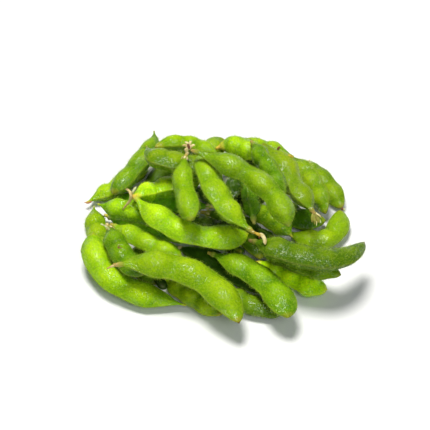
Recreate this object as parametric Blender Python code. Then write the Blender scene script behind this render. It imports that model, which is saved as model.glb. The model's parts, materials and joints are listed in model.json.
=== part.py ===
"""A bundle of edamame: a low heap of whole green soybean pods, as boiled and served.

Every pod is one closed body. It is a flattened, gently bowed lens with two to four bean
swellings, a short stalk with the ring of its old flower at one end and a small beak at the
other. The pods lie across one another in about five layers, and each one is let down
onto the pods before it, so the order of the list PODS is the order of the layers.

Frame: metres, +Z up, the heap stands on z = 0 with the middle of its box over the origin.
The list gives sizes in millimetres and angles in degrees.
"""
import math

import bmesh
import bpy
import numpy as np

MM = 0.001

# ---- the shape that all pods share ----
TAPER = 0.28           # share of the length over which the stalk end widens
BLUNT = 0.26           # share of the length over which the beak end closes
WAIST = (0.88, 0.76)   # width and thickness between two beans, as shares of those at a bean
BEAN_PLACES = {2: (0.36, 0.70), 3: (0.26, 0.52, 0.78), 4: (0.22, 0.42, 0.62, 0.82)}
BEAN_SPREAD = 0.29     # half-length of a swelling, divided by the number of beans
STALK_R = 0.75         # mm
BARE_R = 0.45          # mm, the point of a pod that has lost its stalk
RING_R = 0.5           # mm, how far the flower's ring stands out from the stalk
RING_AT = 2.6          # mm from the end
BEAK_R = 0.45          # mm
HOOK_FROM = 0.72       # where the middle line begins to turn towards an off-centre beak

# ---- how the pods rest on one another ----
GAP = 0.35             # mm, clear height between a pod and what it lies on
CELL = 0.5             # mm, cell of the height map
REACH = 110.0          # mm, half-width of the height map

# ---- mesh fineness ----
SIDES = 12
RINGS = 16


def pod(name, at, yaw, tilt, roll, size, beans, bow, sway=0.0, hook=0.0, neck=TAPER, blunt=BLUNT,
        waist=WAIST, places=None, full=(1, 1, 1, 1), stalk=True, height=None):
    """at: place in plan. yaw: heading of the beak. tilt: how far the beak is raised.
    roll: turn about its own length. size: length, width, thickness.
    bow: rise of the middle of its curve to one side. sway: how uneven that curve is.
    hook: how far the beak lies to one side. places, full: where the beans are and how big.
    height: how high its middle is, for a pod pushed into a hollow; the others are let down."""
    return dict(name=name, at=at, yaw=yaw, tilt=tilt, roll=roll, length=size[0], width=size[1],
                thick=size[2], beans=beans, bow=bow, sway=sway, hook=hook, neck=neck, blunt=blunt,
                waist=waist, places=places or BEAN_PLACES[beans], full=full, stalk=stalk, height=height)


PODS = [
    # The bottom layer: the outer pods first, then the ones buried under the heap.
    pod("left_upper", at=(-55.7, 5), yaw=-79, tilt=1.5, roll=15, size=(37, 10, 7.5), beans=3, bow=-1, sway=0.5, waist=(0.92, 0.85), stalk=False),
    pod("left_front_curl", at=(-41.4, -27.2), yaw=138.3, tilt=8.3, roll=-10, size=(56.4, 12, 8), beans=3, bow=11.4, sway=1.7, blunt=0.16, waist=(0.92, 0.82), places=(0.32, 0.59, 0.845), stalk=False),
    pod("front_under", at=(-13.5, -33.5), yaw=-43, tilt=1, roll=10, size=(36, 10, 7.5), beans=3, bow=-0.5),
    pod("front_base", at=(13, -37.5), yaw=-25, tilt=1, roll=0, size=(33, 11, 7.5), beans=3, bow=-6.5, stalk=False),
    pod("right_front", at=(29.5, -23), yaw=-28, tilt=0, roll=-10, size=(36, 13.5, 9), beans=3, bow=-0.5, sway=-1, blunt=0.18),
    pod("left_tail", at=(-48, 38), yaw=45, tilt=-0.5, roll=-20, size=(38, 10.5, 7.5), beans=3, bow=-2.5, sway=-0.5, stalk=False),
    pod("right_curl", at=(44.3, 5.5), yaw=26, tilt=1, roll=0, size=(30, 11.5, 7.5), beans=3, bow=-13.5, sway=-0.5, blunt=0.18, waist=(0.8, 0.8), full=(1, 0.85, 0.5), stalk=False),
    pod("right_top", at=(45.3, 41.1), yaw=-59, tilt=0.5, roll=25, size=(43, 10, 7.5), beans=3, bow=2.5, neck=0.42, waist=(0.85, 0.78), stalk=False),
    pod("right_row", at=(40.5, 35), yaw=-68, tilt=-6, roll=50, size=(40, 10, 7.5), beans=3, bow=2, sway=0.5, neck=0.34, waist=(0.85, 0.76), stalk=False),
    pod("base_left", at=(-26.7, 24.8), yaw=173, tilt=1, roll=0, size=(46, 11.1, 8.3), beans=3, bow=0.7),
    pod("base_mid_left", at=(-30.9, 8.3), yaw=-15, tilt=1, roll=0, size=(48, 12.5, 8.3), beans=3, bow=-4.1),
    pod("base_low_left", at=(-34.8, -15.3), yaw=-70, tilt=0, roll=0, size=(27, 9.4, 8.1), beans=2, bow=-5.6),
    pod("base_back", at=(-25.8, 48.7), yaw=61, tilt=1, roll=0, size=(38, 13, 8.7), beans=3, bow=-7.1),
    pod("base_back_right", at=(15.2, 46.8), yaw=-35, tilt=-3, roll=0, size=(46, 8.2, 8.6), beans=2, bow=5.1),
    pod("base_back_mid", at=(1.4, 30.1), yaw=-15, tilt=0, roll=0, size=(38, 11.2, 7.3), beans=2, bow=-4.1),
    pod("base_right", at=(33.7, 18.7), yaw=-42, tilt=0, roll=0, size=(27, 12.6, 7.8), beans=2, bow=-7.8),
    pod("base_mid", at=(7.6, 6.4), yaw=-50, tilt=1, roll=0, size=(41, 13, 9), beans=3, bow=8),
    pod("base_front", at=(-1.4, -15.4), yaw=-37, tilt=0, roll=0, size=(47, 11.6, 6.6), beans=2, bow=4.3),
    # The second layer lies across the first.
    pod("left_row", at=(-40.5, 9.5), yaw=-24, tilt=3.5, roll=50, size=(35, 10, 7.5), beans=3, bow=0.5, sway=0.5, stalk=False),
    pod("left_mid", at=(-34, -8.5), yaw=-36, tilt=3, roll=0, size=(40, 10.5, 7.5), beans=3, bow=-0.5),
    pod("under_left", at=(-43.5, -18), yaw=-58, tilt=-6, roll=10, size=(33, 10, 7.5), beans=3, bow=-3, sway=-0.5),
    pod("gap_left", at=(-8, 2), yaw=-17, tilt=-5, roll=10, size=(29, 10, 7.5), beans=3, bow=-0.5),
    pod("gap_right", at=(22.9, 4.8), yaw=139, tilt=5, roll=-10, size=(24, 10, 7.5), beans=3, bow=-1.5, blunt=0.16, stalk=False),
    pod("right_behind", at=(32.9, -23), yaw=-29, tilt=3, roll=0, size=(40, 11, 7.5), beans=3, bow=-1.5, stalk=False),
    pod("back_right", at=(15.6, 52.4), yaw=174, tilt=3, roll=20, size=(37, 11, 7.5), beans=3, bow=-8, waist=(0.94, 0.86), stalk=False),
    pod("back_mid", at=(-7, 41.9), yaw=48, tilt=7.5, roll=20, size=(24, 10, 7.5), beans=2, bow=0.5, stalk=False),
    pod("under_diagonal", at=(8.5, 34.5), yaw=-104, tilt=-6, roll=20, size=(39, 10, 7.5), beans=3, bow=-0.5, sway=-0.5),
    pod("gap_edge", at=(12.5, 11), yaw=95, tilt=5, roll=75, size=(33, 10, 7.5), beans=3, bow=0.5, sway=-0.5),
    pod("back_centre", at=(8, 39), yaw=-21, tilt=4.5, roll=20, size=(22, 10, 7.5), beans=2, bow=3.5, sway=-0.5),
    # The third layer, and the long pods that run out over the edge of the heap.
    pod("left_top", at=(-38.6, 43), yaw=-112.5, tilt=-3.5, roll=25, size=(45, 11.2, 8.5), beans=3, bow=3.8, sway=-1.2, hook=-0.5, neck=0.38, blunt=0.18, waist=(0.93, 0.88), stalk=False),
    pod("back_left", at=(-14.5, 37.5), yaw=170, tilt=0, roll=20, size=(30, 8.6, 7), beans=3, bow=-9.8, sway=-2, waist=(0.94, 0.88), stalk=False),
    pod("left_inner", at=(-25.5, 20), yaw=31, tilt=-6, roll=-30, size=(35, 14, 9.5), beans=3, bow=2, sway=-2),
    pod("back_front", at=(-21, 25.5), yaw=-24, tilt=-6, roll=-20, size=(33, 13.5, 9), beans=3, bow=-6.5, sway=2.5, blunt=0.18, waist=(0.95, 0.9), stalk=False),
    pod("right_inner", at=(31, 19.5), yaw=119, tilt=8, roll=30, size=(47, 14, 9), beans=2, bow=-3, sway=-1.5, waist=(0.72, 0.7), places=(0.22, 0.68), full=(0.85, 1.05)),
    pod("right_edge_on", at=(20.5, 20.5), yaw=-66, tilt=-8, roll=75, size=(36, 10, 7.5), beans=3, bow=1, sway=0.5),
    pod("front_right", at=(14, -32), yaw=-50, tilt=1.5, roll=0, size=(53, 13, 8.5), beans=3, bow=7, sway=0.5, blunt=0.16, waist=(0.9, 0.82)),
    pod("right_long", at=(36.7, -26), yaw=0, tilt=-4, roll=-15, size=(51, 14.5, 9.5), beans=4, bow=-13, sway=-2.5, hook=3.6, neck=0.2, blunt=0.4, waist=(0.94, 0.88), full=(1, 1, 1, 0.55)),
    pod("front_long", at=(-16, -37.3), yaw=-25, tilt=-9, roll=0, size=(60, 15, 10), beans=3, bow=14, sway=0.5, neck=0.24, waist=(0.92, 0.84)),
    # The pods on top, the last of them laid over the necks of the others.
    pod("centre_big", at=(-16.5, -5.5), yaw=-19, tilt=-7, roll=0, size=(55, 14, 9), beans=3, bow=-11, sway=-1, blunt=0.16, waist=(0.84, 0.76), places=(0.25, 0.5, 0.82)),
    pod("small_upright", at=(-16, 3), yaw=-87, tilt=-8, roll=30, size=(39, 10, 7.5), beans=2, bow=-2.5, sway=1, blunt=0.18, waist=(0.84, 0.8), places=(0.34, 0.74)),
    pod("centre_upright", at=(-0.5, -1.5), yaw=115, tilt=6, roll=20, size=(51, 12.5, 8.5), beans=3, bow=6.5, sway=-0.5, blunt=0.18, waist=(0.93, 0.86)),
    pod("top_diagonal", at=(10.5, 1), yaw=-41, tilt=-12, roll=20, size=(57, 10.8, 8.2), beans=3, bow=7.5, sway=1, blunt=0.15, waist=(0.72, 0.7), places=(0.31, 0.595, 0.86)),
    # Small young pods that have slipped into the hollows between the others.
    pod("deep_left", at=(-26.8, -31.7), yaw=109, tilt=-16, roll=59, size=(12, 5.5, 4.2), beans=2, bow=-2, stalk=False, height=10.2),
    pod("deep_middle", at=(5.3, -6.8), yaw=118, tilt=-34, roll=34, size=(16, 7.3, 4.2), beans=2, bow=-0.6, stalk=False, height=5.1),
    pod("deep_right", at=(19.3, -6.9), yaw=126, tilt=-20, roll=79, size=(13, 6, 4.4), beans=2, bow=-2, stalk=False, height=13.8),
]


# ---- one pod ----

def section(s, p):
    """Half-width and half-thickness in mm at s, from 0 at the stalk end to 1 at the beak."""
    length = p["length"]
    widen = np.sin(0.5 * np.pi * np.clip((s - 0.035) / p["neck"], 0, 1)) ** 1.15
    close = np.clip((s - (1 - p["blunt"])) / (p["blunt"] - 0.008), 0, 1)
    body = widen * np.clip(1 - close ** 2.1, 0, 1) ** 0.62
    spread = BEAN_SPREAD / p["beans"]
    bean = sum(f * np.exp(-((s - k) / spread) ** 2) for k, f in zip(p["places"], p["full"]))
    half_width = body * (p["waist"][0] + (1 - p["waist"][0]) * bean) * p["width"] / 2
    half_thick = body * (p["waist"][1] + (1 - p["waist"][1]) * bean) * p["thick"] / 2
    from_end = s * length
    if p["stalk"]:
        r = STALK_R + RING_R * np.exp(-((from_end - RING_AT) / 0.9) ** 2)
    else:
        r = BARE_R
    stalk = r * np.sqrt(np.clip(from_end / 0.5, 0, 1)) * np.clip((0.3 - s) / 0.1, 0, 1)
    beak = BEAK_R * np.sqrt(np.clip((1 - s) * length / 0.4, 0, 1)) * np.clip((s - 0.85) / 0.1, 0, 1)
    extra = stalk ** 2 + beak ** 2
    return np.sqrt(half_width ** 2 + extra), np.sqrt(half_thick ** 2 + extra)


def curve(s, p):
    """Place of the middle line in mm, and the angle it runs at, in the plane of the pod's flat side."""
    t = 2 * s - 1
    x = t * p["length"] / 2
    end = np.clip((s - HOOK_FROM) / (1 - HOOK_FROM), 0, 1)
    y = p["bow"] * (1 - t * t) + p["sway"] * t * (1 - t * t) * 2.6 + p["hook"] * end ** 2
    slope = (-2 * p["bow"] * t + p["sway"] * 2.6 * (1 - 3 * t * t)) / (p["length"] / 2)
    slope = slope + 2 * p["hook"] * end / (1 - HOOK_FROM) / p["length"]
    return x, y - p["bow"] * 2 / 3, np.arctan(slope)


def skin(s, angle, p):
    """Points of the surface in mm: s along the pod, angle about it, both the same shape."""
    x, y, lean = curve(s, p)
    half_width, half_thick = section(s, p)
    across = half_width * np.cos(angle)
    return np.stack([x - across * np.sin(lean), y + across * np.cos(lean), half_thick * np.sin(angle)], -1)


def turn(points, p):
    """Turns local points by the pod's roll, tilt and yaw, in that order."""
    roll, tilt, yaw = (math.radians(p[k]) for k in ("roll", "tilt", "yaw"))
    x, y, z = points[..., 0], points[..., 1], points[..., 2]
    y, z = y * math.cos(roll) - z * math.sin(roll), y * math.sin(roll) + z * math.cos(roll)
    x, z = x * math.cos(tilt) - z * math.sin(tilt), x * math.sin(tilt) + z * math.cos(tilt)
    x, y = x * math.cos(yaw) - y * math.sin(yaw), x * math.sin(yaw) + y * math.cos(yaw)
    return np.stack([x, y, z], -1)


# ---- the heap ----

def samples(p, along=220, around=110):
    """A close cover of points on the turned pod, about its own origin."""
    u = np.linspace(0, 1, along)
    s = 0.6 * (1 - np.cos(np.pi * u)) / 2 + 0.4 * u
    angle = np.linspace(0, 2 * np.pi, around, endpoint=False)
    return turn(skin(s[:, None] + 0 * angle, angle + 0 * s[:, None], p), p).reshape(-1, 3)


def settle(pods):
    """Gives each pod without a height the one at which it rests on the floor or on the pods before it."""
    n = int(2 * REACH / CELL)
    top = np.zeros((n, n))
    for p in pods:
        if p["height"] is not None:
            continue
        q = samples(p)
        i = np.floor((q[:, 0] + p["at"][0] + REACH) / CELL).astype(int)
        j = np.floor((q[:, 1] + p["at"][1] + REACH) / CELL).astype(int)
        p["height"] = float(np.max(top[i, j] - q[:, 2]))
        upper = q[:, 2] + p["height"] + GAP
        for di in (-1, 0, 1):
            for dj in (-1, 0, 1):
                np.maximum.at(top, (i + di, j + dj), upper)


# ---- Solids and materials ----

def make_mesh(p):
    """A UV sphere whose poles become the stalk and the beak, moved onto the pod's surface."""
    bm = bmesh.new()
    bmesh.ops.create_uvsphere(bm, u_segments=SIDES, v_segments=RINGS, radius=1.0)
    ball = np.array([v.co[:] for v in bm.verts])
    u = np.arccos(np.clip(ball[:, 2], -1, 1)) / np.pi
    s = 0.35 * (1 - np.cos(np.pi * u)) / 2 + 0.65 * u
    points = skin(s, -np.arctan2(ball[:, 1], ball[:, 0]), p) * MM
    for v, co in zip(bm.verts, points):
        v.co = co
    mesh = bpy.data.meshes.new(p["name"])
    bm.to_mesh(mesh)
    bm.free()
    mesh.shade_smooth()
    return mesh


def make_material(p, level):
    """Green skin: yellower and lighter on the upper pods, deeper on the lower ones."""
    mat = bpy.data.materials.new("skin_" + p["name"])
    mat.use_nodes = True
    shader = mat.node_tree.nodes["Principled BSDF"]
    shader.inputs["Base Color"].default_value = (0.10 + 0.13 * level, 0.30 + 0.17 * level, 0.012 + 0.006 * level, 1.0)
    shader.inputs["Roughness"].default_value = 0.32
    shader.inputs["Metallic"].default_value = 0.0
    mat.diffuse_color = shader.inputs["Base Color"].default_value
    return mat


def main():
    for ob in list(bpy.data.objects):
        bpy.data.objects.remove(ob, do_unlink=True)
    heap = bpy.data.collections.new("edamame_pod_bundle")
    bpy.context.scene.collection.children.link(heap)

    settle(PODS)
    highest = max(p["height"] for p in PODS)
    made = []
    for p in PODS:
        ob = bpy.data.objects.new(p["name"], make_mesh(p))
        ob.data.materials.append(make_material(p, p["height"] / highest))
        ob.rotation_euler = (math.radians(p["roll"]), -math.radians(p["tilt"]), math.radians(p["yaw"]))
        ob.location = (p["at"][0] * MM, p["at"][1] * MM, p["height"] * MM)
        heap.objects.link(ob)
        made.append(ob)

    # Bring the middle of the box's base to the origin.
    bpy.context.view_layer.update()
    corners = np.array([ob.matrix_world @ v.co for ob in made for v in ob.data.vertices])
    low, high = corners.min(axis=0), corners.max(axis=0)
    for ob in made:
        ob.location.x -= (low[0] + high[0]) / 2
        ob.location.y -= (low[1] + high[1]) / 2
        ob.location.z -= low[2]


main()
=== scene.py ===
"""The finish of the edamame pod bundle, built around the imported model.

Every pod is made again as a fine mesh in the place that its plain solid holds: the seams, bean
swellings, puckers and skin texture come from geometry, and so do the stalk, the dried flower
leaves at its neck, the beak and the short hairs. Sizes are in millimetres until they reach Blender.
"""
import json
import math

import bpy
import numpy as np
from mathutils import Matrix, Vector


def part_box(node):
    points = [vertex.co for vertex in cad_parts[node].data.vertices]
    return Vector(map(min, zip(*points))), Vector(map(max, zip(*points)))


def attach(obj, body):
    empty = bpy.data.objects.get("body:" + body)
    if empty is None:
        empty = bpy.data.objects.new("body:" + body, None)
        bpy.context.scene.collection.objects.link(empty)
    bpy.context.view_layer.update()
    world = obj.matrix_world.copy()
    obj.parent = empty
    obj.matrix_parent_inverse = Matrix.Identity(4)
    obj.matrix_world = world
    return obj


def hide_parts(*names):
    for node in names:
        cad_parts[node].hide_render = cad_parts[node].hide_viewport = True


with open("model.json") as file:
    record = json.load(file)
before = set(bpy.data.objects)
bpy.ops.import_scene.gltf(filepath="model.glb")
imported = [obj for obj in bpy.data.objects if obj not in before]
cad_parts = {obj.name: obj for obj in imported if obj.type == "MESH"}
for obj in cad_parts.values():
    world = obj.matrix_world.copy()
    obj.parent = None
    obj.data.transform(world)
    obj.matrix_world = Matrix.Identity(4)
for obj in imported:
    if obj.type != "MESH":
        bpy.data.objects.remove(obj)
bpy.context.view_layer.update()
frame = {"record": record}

MM = 0.001

# ---- the pods' shape and places, the same as in the solids ----
TAPER = 0.28
BLUNT = 0.26
WAIST = (0.88, 0.76)
BEAN_PLACES = {2: (0.36, 0.70), 3: (0.26, 0.52, 0.78), 4: (0.22, 0.42, 0.62, 0.82)}
BEAN_SPREAD = 0.29
STALK_R = 0.75
BARE_R = 0.45
RING_R = 0.5
RING_AT = 2.6
BEAK_R = 0.45
HOOK_FROM = 0.72
SIDES = 12
RINGS = 16


def pod(name, at, yaw, tilt, roll, size, beans, bow, sway=0.0, hook=0.0, neck=TAPER, blunt=BLUNT,
        waist=WAIST, places=None, full=(1, 1, 1, 1), stalk=True, height=None):
    """at: place in plan. yaw: heading of the beak. tilt: how far the beak is raised.
    roll: turn about its own length. size: length, width, thickness.
    bow: rise of the middle of its curve to one side. sway: how uneven that curve is.
    hook: how far the beak lies to one side. places, full: where the beans are and how big."""
    return dict(name=name, at=at, yaw=yaw, tilt=tilt, roll=roll, length=size[0], width=size[1],
                thick=size[2], beans=beans, bow=bow, sway=sway, hook=hook, neck=neck, blunt=blunt,
                waist=waist, places=places or BEAN_PLACES[beans], full=full, stalk=stalk, height=height)


PODS = [
    # The bottom layer: the outer pods first, then the ones buried under the heap.
    pod("left_upper", at=(-55.7, 5), yaw=-79, tilt=1.5, roll=15, size=(37, 10, 7.5), beans=3, bow=-1, sway=0.5, waist=(0.92, 0.85), stalk=False),
    pod("left_front_curl", at=(-41.4, -27.2), yaw=138.3, tilt=8.3, roll=-10, size=(56.4, 12, 8), beans=3, bow=11.4, sway=1.7, blunt=0.16, waist=(0.92, 0.82), places=(0.32, 0.59, 0.845), stalk=False),
    pod("front_under", at=(-13.5, -33.5), yaw=-43, tilt=1, roll=10, size=(36, 10, 7.5), beans=3, bow=-0.5),
    pod("front_base", at=(13, -37.5), yaw=-25, tilt=1, roll=0, size=(33, 11, 7.5), beans=3, bow=-6.5, stalk=False),
    pod("right_front", at=(29.5, -23), yaw=-28, tilt=0, roll=-10, size=(36, 13.5, 9), beans=3, bow=-0.5, sway=-1, blunt=0.18),
    pod("left_tail", at=(-48, 38), yaw=45, tilt=-0.5, roll=-20, size=(38, 10.5, 7.5), beans=3, bow=-2.5, sway=-0.5, stalk=False),
    pod("right_curl", at=(44.3, 5.5), yaw=26, tilt=1, roll=0, size=(30, 11.5, 7.5), beans=3, bow=-13.5, sway=-0.5, blunt=0.18, waist=(0.8, 0.8), full=(1, 0.85, 0.5), stalk=False),
    pod("right_top", at=(45.3, 41.1), yaw=-59, tilt=0.5, roll=25, size=(43, 10, 7.5), beans=3, bow=2.5, neck=0.42, waist=(0.85, 0.78), stalk=False),
    pod("right_row", at=(40.5, 35), yaw=-68, tilt=-6, roll=50, size=(40, 10, 7.5), beans=3, bow=2, sway=0.5, neck=0.34, waist=(0.85, 0.76), stalk=False),
    pod("base_left", at=(-26.7, 24.8), yaw=173, tilt=1, roll=0, size=(46, 11.1, 8.3), beans=3, bow=0.7),
    pod("base_mid_left", at=(-30.9, 8.3), yaw=-15, tilt=1, roll=0, size=(48, 12.5, 8.3), beans=3, bow=-4.1),
    pod("base_low_left", at=(-34.8, -15.3), yaw=-70, tilt=0, roll=0, size=(27, 9.4, 8.1), beans=2, bow=-5.6),
    pod("base_back", at=(-25.8, 48.7), yaw=61, tilt=1, roll=0, size=(38, 13, 8.7), beans=3, bow=-7.1),
    pod("base_back_right", at=(15.2, 46.8), yaw=-35, tilt=-3, roll=0, size=(46, 8.2, 8.6), beans=2, bow=5.1),
    pod("base_back_mid", at=(1.4, 30.1), yaw=-15, tilt=0, roll=0, size=(38, 11.2, 7.3), beans=2, bow=-4.1),
    pod("base_right", at=(33.7, 18.7), yaw=-42, tilt=0, roll=0, size=(27, 12.6, 7.8), beans=2, bow=-7.8),
    pod("base_mid", at=(7.6, 6.4), yaw=-50, tilt=1, roll=0, size=(41, 13, 9), beans=3, bow=8),
    pod("base_front", at=(-1.4, -15.4), yaw=-37, tilt=0, roll=0, size=(47, 11.6, 6.6), beans=2, bow=4.3),
    # The second layer lies across the first.
    pod("left_row", at=(-40.5, 9.5), yaw=-24, tilt=3.5, roll=50, size=(35, 10, 7.5), beans=3, bow=0.5, sway=0.5, stalk=False),
    pod("left_mid", at=(-34, -8.5), yaw=-36, tilt=3, roll=0, size=(40, 10.5, 7.5), beans=3, bow=-0.5),
    pod("under_left", at=(-43.5, -18), yaw=-58, tilt=-6, roll=10, size=(33, 10, 7.5), beans=3, bow=-3, sway=-0.5),
    pod("gap_left", at=(-8, 2), yaw=-17, tilt=-5, roll=10, size=(29, 10, 7.5), beans=3, bow=-0.5),
    pod("gap_right", at=(22.9, 4.8), yaw=139, tilt=5, roll=-10, size=(24, 10, 7.5), beans=3, bow=-1.5, blunt=0.16, stalk=False),
    pod("right_behind", at=(32.9, -23), yaw=-29, tilt=3, roll=0, size=(40, 11, 7.5), beans=3, bow=-1.5, stalk=False),
    pod("back_right", at=(15.6, 52.4), yaw=174, tilt=3, roll=20, size=(37, 11, 7.5), beans=3, bow=-8, waist=(0.94, 0.86), stalk=False),
    pod("back_mid", at=(-7, 41.9), yaw=48, tilt=7.5, roll=20, size=(24, 10, 7.5), beans=2, bow=0.5, stalk=False),
    pod("under_diagonal", at=(8.5, 34.5), yaw=-104, tilt=-6, roll=20, size=(39, 10, 7.5), beans=3, bow=-0.5, sway=-0.5),
    pod("gap_edge", at=(12.5, 11), yaw=95, tilt=5, roll=75, size=(33, 10, 7.5), beans=3, bow=0.5, sway=-0.5),
    pod("back_centre", at=(8, 39), yaw=-21, tilt=4.5, roll=20, size=(22, 10, 7.5), beans=2, bow=3.5, sway=-0.5),
    # The third layer, and the long pods that run out over the edge of the heap.
    pod("left_top", at=(-38.6, 43), yaw=-112.5, tilt=-3.5, roll=25, size=(45, 11.2, 8.5), beans=3, bow=3.8, sway=-1.2, hook=-0.5, neck=0.38, blunt=0.18, waist=(0.93, 0.88), stalk=False),
    pod("back_left", at=(-14.5, 37.5), yaw=170, tilt=0, roll=20, size=(30, 8.6, 7), beans=3, bow=-9.8, sway=-2, waist=(0.94, 0.88), stalk=False),
    pod("left_inner", at=(-25.5, 20), yaw=31, tilt=-6, roll=-30, size=(35, 14, 9.5), beans=3, bow=2, sway=-2),
    pod("back_front", at=(-21, 25.5), yaw=-24, tilt=-6, roll=-20, size=(33, 13.5, 9), beans=3, bow=-6.5, sway=2.5, blunt=0.18, waist=(0.95, 0.9), stalk=False),
    pod("right_inner", at=(31, 19.5), yaw=119, tilt=8, roll=30, size=(47, 14, 9), beans=2, bow=-3, sway=-1.5, waist=(0.72, 0.7), places=(0.22, 0.68), full=(0.85, 1.05)),
    pod("right_edge_on", at=(20.5, 20.5), yaw=-66, tilt=-8, roll=75, size=(36, 10, 7.5), beans=3, bow=1, sway=0.5),
    pod("front_right", at=(14, -32), yaw=-50, tilt=1.5, roll=0, size=(53, 13, 8.5), beans=3, bow=7, sway=0.5, blunt=0.16, waist=(0.9, 0.82)),
    pod("right_long", at=(36.7, -26), yaw=0, tilt=-4, roll=-15, size=(51, 14.5, 9.5), beans=4, bow=-13, sway=-2.5, hook=3.6, neck=0.2, blunt=0.4, waist=(0.94, 0.88), full=(1, 1, 1, 0.55)),
    pod("front_long", at=(-16, -37.3), yaw=-25, tilt=-9, roll=0, size=(60, 15, 10), beans=3, bow=14, sway=0.5, neck=0.24, waist=(0.92, 0.84)),
    # The pods on top, the last of them laid over the necks of the others.
    pod("centre_big", at=(-16.5, -5.5), yaw=-19, tilt=-7, roll=0, size=(55, 14, 9), beans=3, bow=-11, sway=-1, blunt=0.16, waist=(0.84, 0.76), places=(0.25, 0.5, 0.82)),
    pod("small_upright", at=(-16, 3), yaw=-87, tilt=-8, roll=30, size=(39, 10, 7.5), beans=2, bow=-2.5, sway=1, blunt=0.18, waist=(0.84, 0.8), places=(0.34, 0.74)),
    pod("centre_upright", at=(-0.5, -1.5), yaw=115, tilt=6, roll=20, size=(51, 12.5, 8.5), beans=3, bow=6.5, sway=-0.5, blunt=0.18, waist=(0.93, 0.86)),
    pod("top_diagonal", at=(10.5, 1), yaw=-41, tilt=-12, roll=20, size=(57, 10.8, 8.2), beans=3, bow=7.5, sway=1, blunt=0.15, waist=(0.72, 0.7), places=(0.31, 0.595, 0.86)),
    # Small young pods that have slipped into the hollows between the others.
    pod("deep_left", at=(-26.8, -31.7), yaw=109, tilt=-16, roll=59, size=(12, 5.5, 4.2), beans=2, bow=-2, stalk=False, height=10.2),
    pod("deep_middle", at=(5.3, -6.8), yaw=118, tilt=-34, roll=34, size=(16, 7.3, 4.2), beans=2, bow=-0.6, stalk=False, height=5.1),
    pod("deep_right", at=(19.3, -6.9), yaw=126, tilt=-20, roll=79, size=(13, 6, 4.4), beans=2, bow=-2, stalk=False, height=13.8),
]


def section(s, p):
    """Half-width and half-thickness in mm of the plain solid at s, 0 at the stalk end and 1 at the beak."""
    length = p["length"]
    widen = np.sin(0.5 * np.pi * np.clip((s - 0.035) / p["neck"], 0, 1)) ** 1.15
    close = np.clip((s - (1 - p["blunt"])) / (p["blunt"] - 0.008), 0, 1)
    body = widen * np.clip(1 - close ** 2.1, 0, 1) ** 0.62
    spread = BEAN_SPREAD / p["beans"]
    bean = sum(f * np.exp(-((s - k) / spread) ** 2) for k, f in zip(p["places"], p["full"]))
    half_width = body * (p["waist"][0] + (1 - p["waist"][0]) * bean) * p["width"] / 2
    half_thick = body * (p["waist"][1] + (1 - p["waist"][1]) * bean) * p["thick"] / 2
    from_end = s * length
    if p["stalk"]:
        r = STALK_R + RING_R * np.exp(-((from_end - RING_AT) / 0.9) ** 2)
    else:
        r = BARE_R
    stalk = r * np.sqrt(np.clip(from_end / 0.5, 0, 1)) * np.clip((0.3 - s) / 0.1, 0, 1)
    beak = BEAK_R * np.sqrt(np.clip((1 - s) * length / 0.4, 0, 1)) * np.clip((s - 0.85) / 0.1, 0, 1)
    extra = stalk ** 2 + beak ** 2
    return np.sqrt(half_width ** 2 + extra), np.sqrt(half_thick ** 2 + extra)


def curve(s, p):
    """Place of the middle line in mm, and the angle it runs at."""
    t = 2 * s - 1
    x = t * p["length"] / 2
    end = np.clip((s - HOOK_FROM) / (1 - HOOK_FROM), 0, 1)
    y = p["bow"] * (1 - t * t) + p["sway"] * t * (1 - t * t) * 2.6 + p["hook"] * end ** 2
    slope = (-2 * p["bow"] * t + p["sway"] * 2.6 * (1 - 3 * t * t)) / (p["length"] / 2)
    slope = slope + 2 * p["hook"] * end / (1 - HOOK_FROM) / p["length"]
    return x, y - p["bow"] * 2 / 3, np.arctan(slope)


def solid_skin(s, angle, p):
    """Points of the plain solid's surface in mm."""
    x, y, lean = curve(s, p)
    half_width, half_thick = section(s, p)
    across = half_width * np.cos(angle)
    return np.stack([x - across * np.sin(lean), y + across * np.cos(lean), half_thick * np.sin(angle)], -1)


def turn(points, p):
    """Turns local points by the pod's roll, tilt and yaw, in that order."""
    roll, tilt, yaw = (math.radians(p[k]) for k in ("roll", "tilt", "yaw"))
    x, y, z = points[..., 0], points[..., 1], points[..., 2]
    y, z = y * math.cos(roll) - z * math.sin(roll), y * math.sin(roll) + z * math.cos(roll)
    x, z = x * math.cos(tilt) - z * math.sin(tilt), x * math.sin(tilt) + z * math.cos(tilt)
    x, y = x * math.cos(yaw) - y * math.sin(yaw), x * math.sin(yaw) + y * math.cos(yaw)
    return np.stack([x, y, z], -1)


def place_of(p):
    """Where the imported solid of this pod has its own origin, in mm. Its vertices are known, so its box tells."""
    u = np.linspace(0, 1, RINGS + 1)
    s = 0.35 * (1 - np.cos(np.pi * u)) / 2 + 0.65 * u
    angle = np.arange(SIDES) * 2 * np.pi / SIDES
    own = turn(solid_skin(s[:, None] + 0 * angle, angle + 0 * s[:, None], p), p).reshape(-1, 3)
    low, high = (np.array(c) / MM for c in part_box(p["name"]))
    if np.abs((high - low) - (own.max(0) - own.min(0))).max() > 0.1:
        raise ValueError(p["name"] + " isn't the size that the list gives: the list here and the solids differ")
    return (low + high) / 2 - (own.max(0) + own.min(0)) / 2


# ---- noise ----

def hashed(i, j, k, seed):
    """A number from -1 to 1 for each cell of a lattice."""
    with np.errstate(over="ignore"):
        h = (i.astype(np.uint32) * np.uint32(374761393) + j.astype(np.uint32) * np.uint32(668265263)
             + k.astype(np.uint32) * np.uint32(2246822519) + np.uint32(seed * 7919 + 17) * np.uint32(3266489917))
        h = (h ^ (h >> np.uint32(15))) * np.uint32(2246822519)
        h = (h ^ (h >> np.uint32(13))) * np.uint32(3266489917)
        h = h ^ (h >> np.uint32(16))
    return h.astype(float) / 2147483647.5 - 1


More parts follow.
